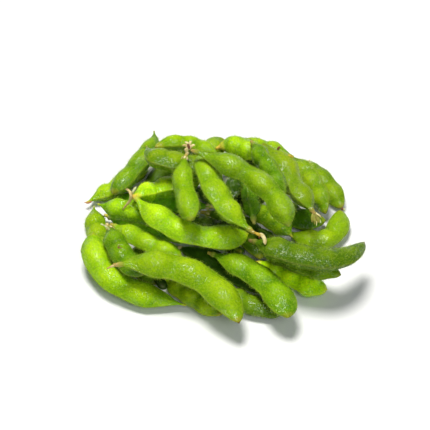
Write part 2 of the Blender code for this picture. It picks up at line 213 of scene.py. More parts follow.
def noise(q, seed):
    """Smooth noise at points q, one swing to a unit."""
    cell = np.floor(q).astype(np.int64)
    f = q - cell
    f = f * f * f * (f * (6 * f - 15) + 10)
    i, j, k = cell[..., 0], cell[..., 1], cell[..., 2]
    out = 0
    for di in (0, 1):
        for dj in (0, 1):
            for dk in (0, 1):
                w = ((f[..., 0] if di else 1 - f[..., 0]) * (f[..., 1] if dj else 1 - f[..., 1])
                     * (f[..., 2] if dk else 1 - f[..., 2]))
                out = out + w * hashed(i + di, j + dj, k + dk, seed)
    return out


# ---- one fine pod ----

def smooth(x, low, high):
    x = np.clip((x - low) / (high - low), 0, 1)
    return x * x * (3 - 2 * x)


def fine_surface(p, rows, cols, seed):
    """The pod's points in mm, rows along it and cols about it, and what its material reads at each point."""
    rng = np.random.default_rng(seed)
    spread = BEAN_SPREAD / p["beans"]
    beans = [(k + rng.uniform(-0.012, 0.012), spread * rng.uniform(0.98, 1.14), full * rng.uniform(0.94, 1.03))
             for k, full in zip(p["places"], p["full"])]
    length = p["length"]
    u = np.linspace(0, 1, rows)
    s = 0.55 * (1 - np.cos(np.pi * u)) / 2 + 0.45 * u
    theta = np.linspace(0, 2 * np.pi, cols, endpoint=False)
    angle = theta - 0.33 * np.sin(2 * theta)          # closer together along both seams
    s, angle = np.meshgrid(s, angle, indexing="ij")
    x, y, lean = curve(s, p)
    half_width, half_thick = section(s, p)

    swell = np.clip(sum(full * np.exp(-(np.abs(s - at) / wide) ** 2.3) for at, wide, full in beans), 0, 1.05)
    old = sum(f * np.exp(-((s - k) / spread) ** 2) for k, f in zip(p["places"], p["full"]))
    for half, w in ((half_width, p["waist"][0]), (half_thick, p["waist"][1])):
        half *= (w + (1 - w) * swell) / (w + (1 - w) * old)

    from_stalk, from_beak = s * length, (1 - s) * length
    inside = np.clip((from_stalk - 3.5) / 4, 0, 1) * np.clip((from_beak - 0.8) / 3, 0, 1)
    # The two valves meet in thin seams, thinnest between the beans.
    lens = 1 + inside * (0.10 + 0.36 * (1 - np.clip(swell, 0, 1)))
    sin, cos = np.sin(angle), np.cos(angle)
    z = half_thick * np.sign(sin) * np.abs(sin) ** lens
    across = half_width * cos
    # Each bean stands up a little as its own rounded form in the flank.
    bean = np.zeros_like(s)
    for at, wide, full in beans:
        reach = np.hypot((s - at) / (wide * 1.30), cos / 0.92)
        bean = np.maximum(bean, full * (1 - smooth(reach, 0.42, 1.18)))
    z = z + np.sign(sin) * np.abs(sin) ** 0.5 * inside * (bean - 0.74) * p["relief"]
    points = np.stack([x - across * np.sin(lean), y + across * np.cos(lean), z], -1)
    return dict(p=p, s=s, angle=angle, points=points, normal=normals(points), swell=swell, bean=bean, inside=inside,
                from_stalk=from_stalk, from_beak=from_beak, rng=rng)


def normals(points):
    """Outward normals of a grid of points, rows along it and columns about it."""
    du = np.gradient(points, axis=0)
    dv = np.roll(points, -1, axis=1) - np.roll(points, 1, axis=1)
    normal = np.cross(dv, du)
    normal /= np.maximum(np.linalg.norm(normal, axis=-1, keepdims=True), 1e-9)
    middle = points.mean(axis=1, keepdims=True)
    return normal * np.sign((normal * (points - middle)).sum(-1).mean())


def roughen(f, seed):
    """Moves the points along their normals: seams, puckers, veins and the unevenness of a boiled skin."""
    p, q = f["p"], f["points"]
    z, inside, swell = q[..., 2], f["inside"], np.clip(f["swell"], 0, 1)
    front = np.cos(f["angle"]) > 0
    near = np.where(np.abs(np.cos(f["angle"])) > 0.6, np.abs(z), 9.0)
    ridge = np.where(front, 0.20, 0.13) * np.exp(-(near / 0.42) ** 2) - np.where(front, 0.17, 0.05) * np.exp(-(near / 0.15) ** 2)
    big = noise(q / 9.0, seed) * 0.24
    middle = noise(q / 3.6 * np.array([0.7, 1, 1]), seed + 1) * 0.09
    # Veins run slantwise from the seams over the flanks.
    slant = np.stack([q[..., 0] * 0.55 + np.abs(q[..., 1]) * 0.5, q[..., 1] * 0.3, q[..., 2] * 0.3 + 40.0 * (z > 0)], -1)
    vein = (0.5 - np.abs(noise(slant / 1.5, seed + 2))) * 0.055
    # Between two beans the skin draws in and puckers.
    waist = np.clip(1 - swell, 0, 1) * inside
    pucker = noise(np.stack([q[..., 0] / 1.3, q[..., 1] / 4.0, z / 4.0], -1), seed + 3) * 0.11 * waist
    fine = noise(q / 1.1, seed + 4) * 0.025
    move = inside * (big + middle + vein * (0.35 + 0.65 * waist) + fine) + pucker + ridge * np.clip(inside * 1.4, 0, 1)
    f["points"] = q + f["normal"] * move[..., None]
    f["normal"] = normals(f["points"])
    f["seam"] = np.exp(-(near / 0.5) ** 2) * np.clip(inside * 1.4, 0, 1)
    return f


def closed_faces(co, rows, cols, first_index=0):
    """Faces over rows of points, with the first and last row drawn in to one point each, facing outwards.
    co: the points in that order, the two end points last."""
    n = rows - 2
    i, j = np.meshgrid(np.arange(n - 1), np.arange(cols), indexing="ij")
    k = (j + 1) % cols
    quads = np.stack([i * cols + j, i * cols + k, (i + 1) * cols + k, (i + 1) * cols + j], -1).reshape(-1, 4)
    a, b = n * cols, n * cols + 1
    j = np.arange(cols)
    k = (j + 1) % cols
    first = np.stack([0 * j + a, k, j], -1)
    last = np.stack([0 * j + b, (n - 1) * cols + j, (n - 1) * cols + k], -1)

    def volume(faces):
        c = co[faces] - co[0]
        return sum((c[:, 0] * np.cross(c[:, m], c[:, m + 1])).sum() for m in range(1, faces.shape[1] - 1))

    if volume(quads) + volume(first) + volume(last) < 0:
        quads, first, last = quads[:, ::-1], first[:, ::-1], last[:, ::-1]
    return (quads + first_index).tolist() + (first + first_index).tolist() + (last + first_index).tolist()


def ends_drawn(grid):
    """A grid's points with its first and last row each drawn in to one point, which come last."""
    flat = grid[1:-1].reshape((-1,) + grid.shape[2:])
    return np.concatenate([flat, grid[0].mean(0)[None], grid[-1].mean(0)[None]])


def closed_mesh(name, parts, smooth_shade=True):
    """One mesh of closed grids. parts: dictionaries with the world points "grid" in mm, and what the material reads."""
    cos, faces, data, total = [], [], {}, 0
    for part in parts:
        grid = part["grid"].copy()
        grid[..., 2] = np.clip(grid[..., 2], 0.0, TOP)
        co = ends_drawn(grid)
        faces += closed_faces(co, *grid.shape[:2], first_index=total)
        cos.append(co * MM)
        total += len(co)
        for key, v in part.items():
            if key != "grid":
                v = np.broadcast_to(v, grid.shape[:2] + ((3,) if key in ("own", "paint") else ())).astype(np.float32)
                data.setdefault(key, []).append(ends_drawn(v))
    mesh = bpy.data.meshes.new(name)
    mesh.from_pydata(np.concatenate(cos).tolist(), [], faces)
    for key, v in data.items():
        vector = key in ("own", "paint")
        attribute = mesh.attributes.new(key, "FLOAT_VECTOR" if vector else "FLOAT", "POINT")
        attribute.data.foreach_set("vector" if vector else "value", np.concatenate(v).astype(np.float32).ravel())
    if smooth_shade:
        mesh.shade_smooth()
    return mesh


def as_piece(name, mesh, material):
    """The piece is made where it stands, and rides on the heap's one body."""
    ob = bpy.data.objects.new(name, mesh)
    bpy.context.scene.collection.objects.link(ob)
    mesh.materials.append(material)
    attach(ob, "root")
    return ob


def stood(points, p):
    """Local points of a pod, in mm, where the pod stands."""
    return turn(points, p) + p["place"]


# ---- stalk, flower leaves, hairs ----
TOP = 46.6             # mm, nothing stands higher than this
SHADES = dict(cream=(0.82, 0.72, 0.36), pale=(0.62, 0.70, 0.36), tan=(0.66, 0.55, 0.22), orange=(0.64, 0.44, 0.04),
              brown=(0.17, 0.06, 0.012), olive=(0.30, 0.31, 0.03), rust=(0.50, 0.24, 0.09))

def tube(path, wide, thick, cols=8, flat=None):
    """A grid about a path: wide and thick are half-sizes at each point of the path, flat the direction that wide lies in."""
    path = np.asarray(path, float)
    along = np.gradient(path, axis=0)
    along /= np.maximum(np.linalg.norm(along, axis=-1, keepdims=True), 1e-9)
    side = np.cross(along, flat if flat is not None else np.array([0.13, 0.27, 0.95]))
    side /= np.maximum(np.linalg.norm(side, axis=-1, keepdims=True), 1e-9)
    other = np.cross(side, along)
    a = np.arange(cols) * 2 * np.pi / cols
    return (path[:, None] + side[:, None] * (np.cos(a)[None, :, None] * np.asarray(wide)[:, None, None])
            + other[:, None] * (np.sin(a)[None, :, None] * np.asarray(thick)[:, None, None]))


def flower_leaves(p, rng, flare, length, count=5):
    """The dried leaves of the flower, which stand around the neck of the pod and point towards the beak."""
    parts = []
    x0, y0, lean0 = (float(v) for v in curve(np.array(RING_AT / p["length"]), p))
    for k in range(count):
        turned = 2 * np.pi * (k + rng.uniform(-0.25, 0.25)) / count
        long = length * rng.uniform(0.7, 1.15)
        open_ = flare * rng.uniform(0.6, 1.4)
        t = np.linspace(0, 1, 11)
        s = (RING_AT - 0.5 + long * t) / p["length"]
        x, y, lean = curve(s, p)
        half_width, half_thick = section(s, p)
        ring = np.array([math.cos(turned), math.sin(turned)])
        out = 0.10 + open_ * long * 0.5 * t ** 1.6 + 0.25 * np.sin(5 * t + k) * t * 0.3
        across = ring[0] * (half_width + out)
        up = ring[1] * (half_thick + out)
        curl = rng.uniform(-0.9, 0.9) * t ** 2
        path = np.stack([x - across * np.sin(lean), y + across * np.cos(lean) + curl * abs(ring[1]), up + curl * abs(ring[0]) * 0.6], -1)
        shape = np.sin(np.pi * np.clip(t * 0.93 + 0.12, 0, 1)) ** 0.8
        normal = np.array([0, ring[0], ring[1]])
        grid = tube(path, 0.50 * shape + 0.03, 0.09 + 0 * t, 8, normal)
        parts.append(dict(grid=stood(grid, p), own=grid * MM + np.array([k * 0.01, 0, 0]), end=(t ** 2)[:, None],
                          paint=np.array(SHADES["cream"])))
    return parts


def stalk_of(p, rng, long):
    """The cut end of the stalk, a little rough, just beyond the ring."""
    t = np.linspace(0, 1, 12)
    s = (RING_AT * (1 - t) + 0.15) / p["length"]
    x, y, lean = curve(s, p)
    path = np.stack([x - long * t ** 2, y + rng.uniform(-0.5, 0.5) * t ** 2, rng.uniform(-0.4, 0.4) * t ** 2], -1)
    r = 0.80 - 0.12 * t + 0.22 * np.exp(-((t - 0.95) / 0.12) ** 2)
    r[0] = 0.5
    grid = tube(path, r, r, 10)
    grid = grid + (noise(grid / 0.7, 5) * 0.07)[..., None]
    return [dict(grid=stood(grid, p), own=grid * MM, end=(t * 0.8)[:, None], paint=np.array(SHADES["tan"]))]


def strap(shade, stations, rng):
    """A dry strip through the given stations, each x, y, z and half-width in mm; it starts inside what it grows from."""
    stations = np.array(stations, float)
    reach = np.concatenate([[0], np.cumsum(np.linalg.norm(np.diff(stations[:, :3], axis=0), axis=1))])
    at = np.linspace(0, reach[-1], 22)
    path = np.stack([np.interp(at, reach, stations[:, k]) for k in range(4)], -1)
    for _ in range(3):
        path[1:-1] = 0.25 * path[:-2] + 0.5 * path[1:-1] + 0.25 * path[2:]
    t = at / reach[-1]
    wide = path[:, 3] * (1 + 0.16 * noise(path[:, :3] / 0.6, int(rng.integers(50))))
    grid = tube(path[:, :3], np.maximum(wide, 0.06), np.clip(wide * 0.42, 0.05, 0.3), 8, np.array([0.0, -0.73, 0.68]))
    grid = grid + (noise(grid / 0.8, int(rng.integers(50))) * 0.09)[..., None]
    return dict(grid=grid, own=grid * MM, end=(t * 0.55)[:, None], paint=np.array(SHADES[shade]))


def hairs_on(world, normal, along, count, rng, keep):
    """Short stiff hairs, each a thin closed spike, leaning towards the beak. Gives points and faces."""
    a = world[:-1]
    area = np.linalg.norm(np.cross(np.roll(a, -1, 1) - a, world[1:] - a), axis=-1) * keep[:-1]
    pick = rng.choice(area.size, count, p=(area / area.sum()).ravel())
    i, j = np.unravel_index(pick, area.shape)
    k = (j + 1) % world.shape[1]
    u, v = rng.random((2, count, 1))
    root = world[i, j] * (1 - u) * (1 - v) + world[i, k] * u * (1 - v) + world[i + 1, j] * (1 - u) * v + world[i + 1, k] * u * v
    n = normal[i, j]
    lean = n * rng.uniform(0.5, 1.1, (count, 1)) + along[i, j] * rng.uniform(0.1, 0.7, (count, 1)) + rng.normal(0, 0.28, (count, 3))
    lean /= np.linalg.norm(lean, axis=-1, keepdims=True)
    side = np.cross(lean, n + 0.01)
    side /= np.maximum(np.linalg.norm(side, axis=-1, keepdims=True), 1e-9)
    other = np.cross(lean, side)
    long = rng.uniform(HAIR_LONG[0], HAIR_LONG[1], (count, 1))
    base = root - n * 0.05
    ring = [base + HAIR_R * (side * math.cos(q) + other * math.sin(q)) for q in (0.0, 2.094, 4.189)]
    co = np.stack(ring + [root + lean * long], 1).reshape(-1, 3)
    co[:, 2] = np.clip(co[:, 2], 0.02, TOP)
    o = 4 * np.arange(count)[:, None]
    faces = np.concatenate([o + [0, 1, 3], o + [1, 2, 3], o + [2, 0, 3], o + [0, 2, 1]])
    return co, faces


# ---- materials ----

class Nodes:
    """Short ways to add and join shader nodes."""

    def __init__(self, name):
        self.mat = bpy.data.materials.new(name)
        self.mat.use_nodes = True
        self.tree = self.mat.node_tree
        self.shader = self.tree.nodes["Principled BSDF"]
        own = self.tree.nodes.new("ShaderNodeAttribute")
        own.attribute_name = "own"
        self.place = own.outputs["Vector"]

    def put(self, socket, value):
        if isinstance(value, bpy.types.NodeSocket):
            self.tree.links.new(value, socket)
        else:
            socket.default_value = value

    def attribute(self, name):
        n = self.tree.nodes.new("ShaderNodeAttribute")
        n.attribute_name = name
        return n.outputs["Fac"]

    def colour_of(self, name):
        n = self.tree.nodes.new("ShaderNodeAttribute")
        n.attribute_name = name
        return n.outputs["Color"]

    def noise(self, scale, detail=2.0, rough=0.5, stretch=(1, 1, 1), distort=0.0):
        m = self.tree.nodes.new("ShaderNodeMapping")
        self.put(m.inputs["Vector"], self.place)
        m.inputs["Scale"].default_value = stretch
        n = self.tree.nodes.new("ShaderNodeTexNoise")
        self.put(n.inputs["Vector"], m.outputs[0])
        n.inputs["Scale"].default_value = scale
        n.inputs["Detail"].default_value = detail
        n.inputs["Roughness"].default_value = rough
        n.inputs["Distortion"].default_value = distort
        return n.outputs["Fac"]

    def spots(self, scale, randomness=1.0):
        n = self.tree.nodes.new("ShaderNodeTexVoronoi")
        self.put(n.inputs["Vector"], self.place)
        n.inputs["Scale"].default_value = scale
        n.inputs["Randomness"].default_value = randomness
        return n.outputs["Distance"]

    def math(self, operation, a, b=0.0, clamp=False):
        n = self.tree.nodes.new("ShaderNodeMath")
        n.operation = operation
        n.use_clamp = clamp
        self.put(n.inputs[0], a)
        self.put(n.inputs[1], b)
        return n.outputs[0]

    def range(self, value, low, high, to_low=0.0, to_high=1.0):
        n = self.tree.nodes.new("ShaderNodeMapRange")
        n.interpolation_type = "SMOOTHSTEP"
        self.put(n.inputs["Value"], value)
        for key, v in (("From Min", low), ("From Max", high), ("To Min", to_low), ("To Max", to_high)):
            n.inputs[key].default_value = v
        return n.outputs["Result"]

    def mix(self, fac, a, b, kind="MIX"):
        n = self.tree.nodes.new("ShaderNodeMix")
        n.data_type = "RGBA"
        n.blend_type = kind
        self.put(n.inputs["Factor"], fac)
        self.put(n.inputs["A"], a)
        self.put(n.inputs["B"], b)
        return n.outputs["Result"]

    def bump(self, height, distance, strength=1.0, normal=None):
        n = self.tree.nodes.new("ShaderNodeBump")
        n.inputs["Strength"].default_value = strength
        n.inputs["Distance"].default_value = distance
        self.put(n.inputs["Height"], height)
        if normal is not None:
            self.put(n.inputs["Normal"], normal)
        return n.outputs["Normal"]


def skin_material(name, deep, mid, light, wet, speck):
    """Boiled pod skin: yellower over the beans, greener in the waists, pale seams, a wet gloss in small glints, and
    painted shade where it faces down.
    """
    m = Nodes(name)
    swell, bean, seam, stem, tip, tint_and_shade = (m.attribute(k) for k in ("swell", "bean", "seam", "stem", "tip", "tint_and_shade"))
    patches = m.noise(150.0, 2.0, 0.5, (0.6, 1, 1))
    mottle = m.noise(900.0, 3.0, 0.6)
    grain = m.noise(1700.0, 2.0, 0.7)
    full = m.math("ADD", m.math("MULTIPLY", bean, 0.32), m.math("MULTIPLY", patches, 0.70))
    full = m.math("ADD", full, 0.09)
    # Painted light and shade, with each pod's own tone: a per-pod value lightens or darkens its whole skin.
    full = m.math("ADD", full, m.math("MULTIPLY", tint_and_shade, 0.20))
    colour = m.mix(m.range(full, 0.22, 0.66), deep, mid)
    colour = m.mix(m.range(full, 0.55, 1.05), colour, light)
    # Painted shade: the skin is painted a deeper green where it doesn't face the sky, as if its undersides were in
    # shadow.
    colour = m.mix(m.range(m.attribute("sky"), 0.62, -0.15, 0.0, 0.60), colour, deep)
    colour = m.mix(m.range(mottle, 0.42, 0.72, 0.0, 0.30), colour, deep)
    colour = m.mix(m.range(grain, 0.53, 0.68, 0.0, 0.50 * speck), colour, (0.54, 0.72, 0.05, 1))
    colour = m.mix(m.range(grain, 0.47, 0.32, 0.0, 0.45), colour, deep)
    # Faint veins run off the seams over the flanks.
    veins = m.noise(420.0, 1.0, 0.5, (0.5, 1.6, 1.0), 1.2)
    colour = m.mix(m.math("MULTIPLY", m.range(m.math("ABSOLUTE", m.math("SUBTRACT", veins, 0.5)), 0.0, 0.035, 0.30, 0.0), 1.0), colour, light)
    colour = m.mix(m.math("MULTIPLY", seam, 0.42), colour, (0.36, 0.47, 0.035, 1))
    # Small brown freckles here and there.
    freckle = m.math("MULTIPLY", m.range(m.spots(260.0), 0.03, 0.09, 1.0, 0.0), m.range(m.noise(70.0, 1.0), 0.60, 0.68))
    colour = m.mix(m.math("MULTIPLY", freckle, 0.8), colour, (0.16, 0.09, 0.01, 1))
    # The neck yellows, then the stalk browns. The beak ends in a brown point.
    neck = m.range(stem, 0.0, 0.55)
    colour = m.mix(m.math("MULTIPLY", neck, 0.72), colour, (0.44, 0.44, 0.05, 1))
    colour = m.mix(m.range(stem, 0.6, 1.0), colour, (0.52, 0.40, 0.07, 1))
    colour = m.mix(m.range(tip, 0.0, 0.6, 0.0, 0.6), colour, (0.40, 0.38, 0.03, 1))
    colour = m.mix(m.range(tip, 0.70, 0.95), colour, (0.15, 0.065, 0.012, 1))
    # Each pod's paint gain multiplies its colour: partly its own tone, partly painted light and shade.
    colour = m.mix(1.0, colour, m.colour_of("paint"), "MULTIPLY")
    m.put(m.shader.inputs["Base Color"], colour)
    rough = m.math("ADD", m.range(mottle, 0.3, 0.7, 0.36, 0.52), m.math("MULTIPLY", neck, 0.2))
    m.put(m.shader.inputs["Roughness"], rough)
    height = m.math("ADD", m.math("MULTIPLY", m.noise(1500.0, 3.0, 0.65), 1.0), m.math("MULTIPLY", grain, 0.5))
    m.put(m.shader.inputs["Normal"], m.bump(m.math("ADD", height, m.math("MULTIPLY", m.noise(700.0, 1.0, 0.5), 0.7)), 0.00040, 1.0))
    # Drops and film of water: a coat whose own relief breaks the light into glints.
    film = m.noise(620.0, 3.0, 0.65)
    film = m.math("ADD", film, m.math("MULTIPLY", m.noise(1300.0, 2.0, 0.6), 0.5))
    m.put(m.shader.inputs["Coat Normal"], m.bump(film, 0.00048, 1.0))
    drops = m.math("ADD", m.math("MULTIPLY", m.noise(900.0, 2.0, 0.7), 0.7), m.math("MULTIPLY", m.noise(240.0, 1.0, 0.5), 0.3))
    m.put(m.shader.inputs["Coat Weight"], m.range(drops, 0.47, 0.57, 0.0, wet))
    sh = m.shader.inputs
    sh["IOR"].default_value = 1.30
    sh["Specular IOR Level"].default_value = 0.10
    sh["Subsurface Weight"].default_value = 0.15
    sh["Subsurface Radius"].default_value = (0.8, 1.0, 0.06)
    sh["Subsurface Scale"].default_value = 0.0014
    sh["Coat Roughness"].default_value = 0.16
    sh["Coat IOR"].default_value = 1.5
    m.mat.diffuse_color = (*mid[:3], 1)
    return m.mat


def dry_material(name):
    """Dried flower leaves and stalk: cream and straw with brown tips."""
    m = Nodes(name)
    end = m.attribute("end")
    patches = m.noise(500.0, 3.0, 0.6)
    streak = m.noise(1200.0, 2.0, 0.5, (0.2, 1, 1))
    paint = m.colour_of("paint")
    darker = m.mix(1.0, paint, (0.66, 0.58, 0.40, 1), "MULTIPLY")
    colour = m.mix(m.range(patches, 0.38, 0.70), paint, darker)
    colour = m.mix(m.range(streak, 0.52, 0.75, 0.0, 0.6), colour, darker)
    colour = m.mix(m.range(end, 0.6, 1.0, 0.0, 0.6), colour, (0.24, 0.10, 0.025, 1))
    m.put(m.shader.inputs["Base Color"], colour)
    m.put(m.shader.inputs["Normal"], m.bump(streak, 0.0002, 0.7))
    m.shader.inputs["Roughness"].default_value = 0.62
    m.shader.inputs["Subsurface Weight"].default_value = 0.15
    m.shader.inputs["Subsurface Radius"].default_value = (1.0, 0.7, 0.3)
    m.shader.inputs["Subsurface Scale"].default_value = 0.0008
    return m.mat


# ---- build the pods ----
HAIR_LONG = (0.7, 1.7)
HAIR_R = 0.038
HAIRS_PER_POD = 1150

# How light each pod's skin is against the others, from -1 to 1: partly its own tone and partly painted light and shade,
# lower for pods in the gaps and higher for some that lie in shadow.
TINT_AND_SHADE = dict(left_top=-0.8, back_front=-0.7, front_right=-0.5, right_long=-1.1, left_tail=-0.3, under_left=0.0,
            gap_left=-1.0, gap_right=-0.9, gap_edge=-0.7, back_left=-0.5, centre_upright=0.6, small_upright=0.3,
            left_mid=0.3, left_front_curl=0.35, right_curl=0.35, right_top=0.2, left_inner=0.3, top_diagonal=0.35,
            right_inner=0.4, centre_big=0.1, front_long=0.25, right_front=0.5, front_base=-0.2, front_under=-0.3,
            right_behind=0.4, under_diagonal=-1.0, right_edge_on=-0.4)
# Each pod's gain on red and green: partly its own tone and partly painted light and shade, raised for pods that lie in
# the shadow of others and lowered for those on top and those deep in the gaps.
TONE_AND_LIGHT = dict(left_upper=(1.05, 0.95), left_front_curl=(1.1, 1.1), front_under=(1.45, 1.2), front_base=(0.55, 0.55),
            right_front=(1.95, 1.9), left_tail=(1.55, 1.35), right_curl=(0.9, 0.85), right_top=(0.75, 0.7),
            right_row=(0.95, 0.85), left_row=(1.3, 1.3), left_mid=(0.95, 0.95), under_left=(0.7, 0.75),
            gap_left=(0.25, 0.25), gap_right=(1.05, 0.95), right_behind=(0.75, 0.75), back_right=(1.05, 1),
            back_mid=(1.15, 1), under_diagonal=(0.25, 0.3), gap_edge=(0.7, 0.85), back_centre=(1.4, 1.3),
            left_top=(0.95, 0.9), back_left=(1.15, 1.05), left_inner=(1.8, 1.65), back_front=(0.85, 0.75),
            right_inner=(0.7, 0.65), right_edge_on=(0.75, 0.8), front_right=(0.9, 0.9), right_long=(0.6, 0.55),
            front_long=(0.9, 0.85), centre_big=(1.35, 1.3), small_upright=(0.85, 0.85),
            centre_upright=(0.85, 0.85), top_diagonal=(0.75, 0.75),
            base_left=(0.95, 1.25), base_mid_left=(1.35, 1.7), base_right=(1, 1.2), base_back=(0.9, 0.85),
            base_back_mid=(0.2, 0.3), base_front=(0.5, 0.65), deep_left=(0.25, 0.3), deep_right=(0.6, 0.7))
# How far the dried flower leaves stand off and how long they are, in mm.
LEAVES = dict(top_diagonal=(0.7, 3.4), centre_big=(0.35, 2.6), small_upright=(0.2, 1.8), right_long=(0.6, 3.0),
              left_mid=(0.5, 2.4), centre_upright=(0.35, 2.2), right_inner=(0.6, 2.8))
BARE = ("front_long", "front_right", "right_front", "left_inner", "centre_big", "top_diagonal", "left_mid",
        "centre_upright", "right_inner", "right_long", "back_centre", "under_diagonal", "right_edge_on", "gap_edge", "gap_left")
# Torn strips of stalk and dry flower leaves that curl off the ends of some pods: shade, then x, y, z and half-width in mm.
STRAPS = [
    ("tan", [(-44.8, 8.6, 14.4, 0.3), (-43.3, 8.8, 16.7, 0.5), (-41.7, 8.8, 18.9, 0.6), (-40.6, 8.8, 21.0, 0.75), (-40.4, 8.9, 23.1, 0.7), (-40.7, 10.7, 23.4, 0.65), (-41.6, 12.4, 23.4, 0.6), (-42.6, 13.6, 23.0, 0.45), (-43.3, 14.2, 21.9, 0.12)]),
    ("pale", [(-40.3, 9.8, 21.6, 0.35), (-39.7, 10.8, 23.5, 0.6), (-38.8, 11.8, 24.6, 0.75), (-38.1, 12.6, 25.3, 0.1)]),
    ("cream", [(-14.2, 16.2, 43.7, 0.45), (-14.6, 17.0, 45.1, 0.6), (-15.4, 17.9, 46.2, 0.6), (-16.5, 18.8, 46.3, 0.12)]),
    ("cream", [(-14.3, 16.3, 43.9, 0.4), (-14.3, 17.3, 45.4, 0.55), (-14.0, 18.3, 46.3, 0.55), (-13.3, 19.2, 46.3, 0.12)]),
    ("tan", [(-14.4, 16.3, 43.9, 0.4), (-15.6, 17.0, 45.1, 0.55), (-16.7, 17.3, 45.6, 0.5), (-17.5, 16.9, 45.2, 0.12)]),
    ("cream", [(-14.2, 16.3, 43.9, 0.4), (-13.6, 17.0, 45.1, 0.5), (-12.7, 17.3, 45.5, 0.5), (-12.0, 16.9, 45.3, 0.12)]),
    ("brown", [(-14.4, 16.3, 43.9, 0.6), (-14.8, 16.8, 45.0, 0.75), (-15.0, 17.4, 45.7, 0.55), (-15.3, 17.9, 46.3, 0.15)]),
    ("cream", [(-14.4, 16.3, 43.9, 0.4), (-15.6, 16.2, 44.4, 0.5), (-16.6, 15.9, 44.2, 0.12)]),
    ("cream", [(-15.6, 21.9, 36.2, 0.5), (-15.5, 22.2, 37.8, 0.5), (-15.2, 23.4, 38.8, 0.5), (-15.1, 24.1, 39.3, 0.2)]),
    ("cream", [(-15.7, 21.9, 36.2, 0.4), (-16.2, 22.4, 37.9, 0.5), (-16.8, 22.7, 38.6, 0.12)]),
    ("pale", [(-49.2, -8.8, 18.8, 0.4), (-50.2, -8.3, 20.1, 0.38), (-51.8, -7.6, 20.8, 0.34), (-53.2, -7.2, 21.2, 0.28)]),
    ("orange", [(13.3, -22.1, 30.2, 0.5), (14.6, -23.4, 30.7, 0.62), (15.6, -23.4, 30.0, 0.7), (16.2, -23.6, 29.2, 0.35)]),
    ("cream", [(15.2, -22.5, 29.8, 0.35), (16.4, -23.1, 30.0, 0.75), (17.4, -23.8, 29.3, 0.9), (17.9, -24.6, 28.4, 0.9), (18.1, -25.4, 27.5, 0.75), (18.2, -26.2, 26.7, 0.15)]),
    ("brown", [(15.2, -22.6, 29.7, 0.35), (15.6, -23.7, 29.1, 0.5), (15.7, -24.3, 28.5, 0.15)]),
    ("olive", [(40.4, -0.7, 22.2, 0.7), (41.3, -2.4, 21.3, 0.95), (42.1, -3.7, 20.2, 0.9), (42.6, -4.9, 19.1, 0.12)]),
    ("olive", [(40.3, -0.8, 22.0, 0.7), (40.4, -2.5, 21.1, 0.9), (40.6, -3.9, 19.9, 0.8), (40.4, -5.2, 18.8, 0.12)]),
    ("olive", [(40.4, -0.8, 22.0, 0.6), (39.6, -2.4, 21.3, 0.7), (39.3, -3.6, 20.2, 0.5), (39.5, -4.7, 19.4, 0.12)]),
    ("cream", [(40.7, -0.8, 22.0, 0.35), (41.9, -2.3, 22.1, 0.42), (42.8, -2.6, 21.7, 0.4), (43.4, -3.2, 20.9, 0.1)]),
    ("pale", [(40.7, -1.0, 21.8, 0.3), (42.2, -2.9, 20.7, 0.4), (43.1, -4.0, 19.8, 0.3), (43.2, -4.8, 19.2, 0.1)]),
    ("cream", [(40.4, -1.0, 21.8, 0.3), (41.2, -3.2, 20.5, 0.38), (41.5, -4.5, 19.3, 0.3), (41.3, -5.6, 18.3, 0.08)]),
    ("brown", [(40.4, -1.1, 21.7, 0.4), (41.0, -2.6, 21.2, 0.4), (41.4, -3.7, 20.4, 0.15)]),
    ("brown", [(25.0, 33.6, 28.7, 0.45), (25.7, 34.0, 29.7, 0.6), (26.4, 34.2, 29.9, 0.3)]),
    ("orange", [(29.1, 31.3, 27.9, 0.4), (30.4, 29.9, 28.2, 0.6), (31.3, 29.9, 27.6, 0.55), (32.2, 30.0, 27.2, 0.25)]),
    ("tan", [(40.0, 49.7, 6.2, 0.35), (40.7, 50.2, 7.4, 0.42), (41.5, 50.7, 8.0, 0.1)]),
    ("pale", [(40.3, 49.7, 6.2, 0.35), (41.4, 49.9, 7.1, 0.38), (42.1, 49.6, 6.8, 0.1)]),
    ("tan", [(-45.3, -32.9, 21.5, 0.6), (-46.9, -34.1, 21.8, 0.48), (-48.2, -34.7, 21.5, 0.4), (-49.3, -34.9, 21.0, 0.15)]),
    ("rust", [(-59.9, 26.5, 3.8, 0.4), (-61.0, 25.3, 4.0, 0.5), (-62.2, 25.3, 3.6, 0.42), (-63.4, 25.9, 3.8, 0.12)]),
    ("brown", [(-45.6, -20.0, 18.2, 0.3), (-44.7, -19.9, 18.9, 0.55), (-43.7, -20.0, 18.8, 0.3), (-43.1, -20.3, 18.4, 0.1)]),
    ("olive", [(-45.2, -19.6, 18.3, 0.3), (-44.9, -19.2, 19.4, 0.4), (-44.2, -18.7, 19.8, 0.1)]),
    ("brown", [(54.6, 22.8, 3.7, 0.6), (55.2, 21.8, 3.3, 0.6), (55.6, 21.4, 2.7, 0.3)]),
    ("pale", [(55.1, 22.4, 3.3, 0.3), (55.9, 21.6, 3.3, 0.45), (56.2, 21.0, 2.7, 0.12)]),
]

# How brown the end of the beak is: 1 on a few, green or yellow on the rest.
BROWN_TIP = dict(front_long=1.0, back_front=1.0, left_top=0.85, right_top=1.0, centre_upright=0.9, left_front_curl=0.8,
                 gap_edge=0.9, back_left=0.9)
# How strongly the beans stand out of the flanks.
RELIEF = dict(front_long=1.05, front_right=0.6, left_front_curl=0.5, centre_big=1.0, top_diagonal=0.95, small_upright=0.7,
              centre_upright=0.7, left_mid=0.75, right_inner=0.5, back_front=0.3, left_top=0.4, right_long=0.15,
              left_inner=0.6, front_base=0.4, right_curl=0.6, back_left=0.5, left_upper=0.4)

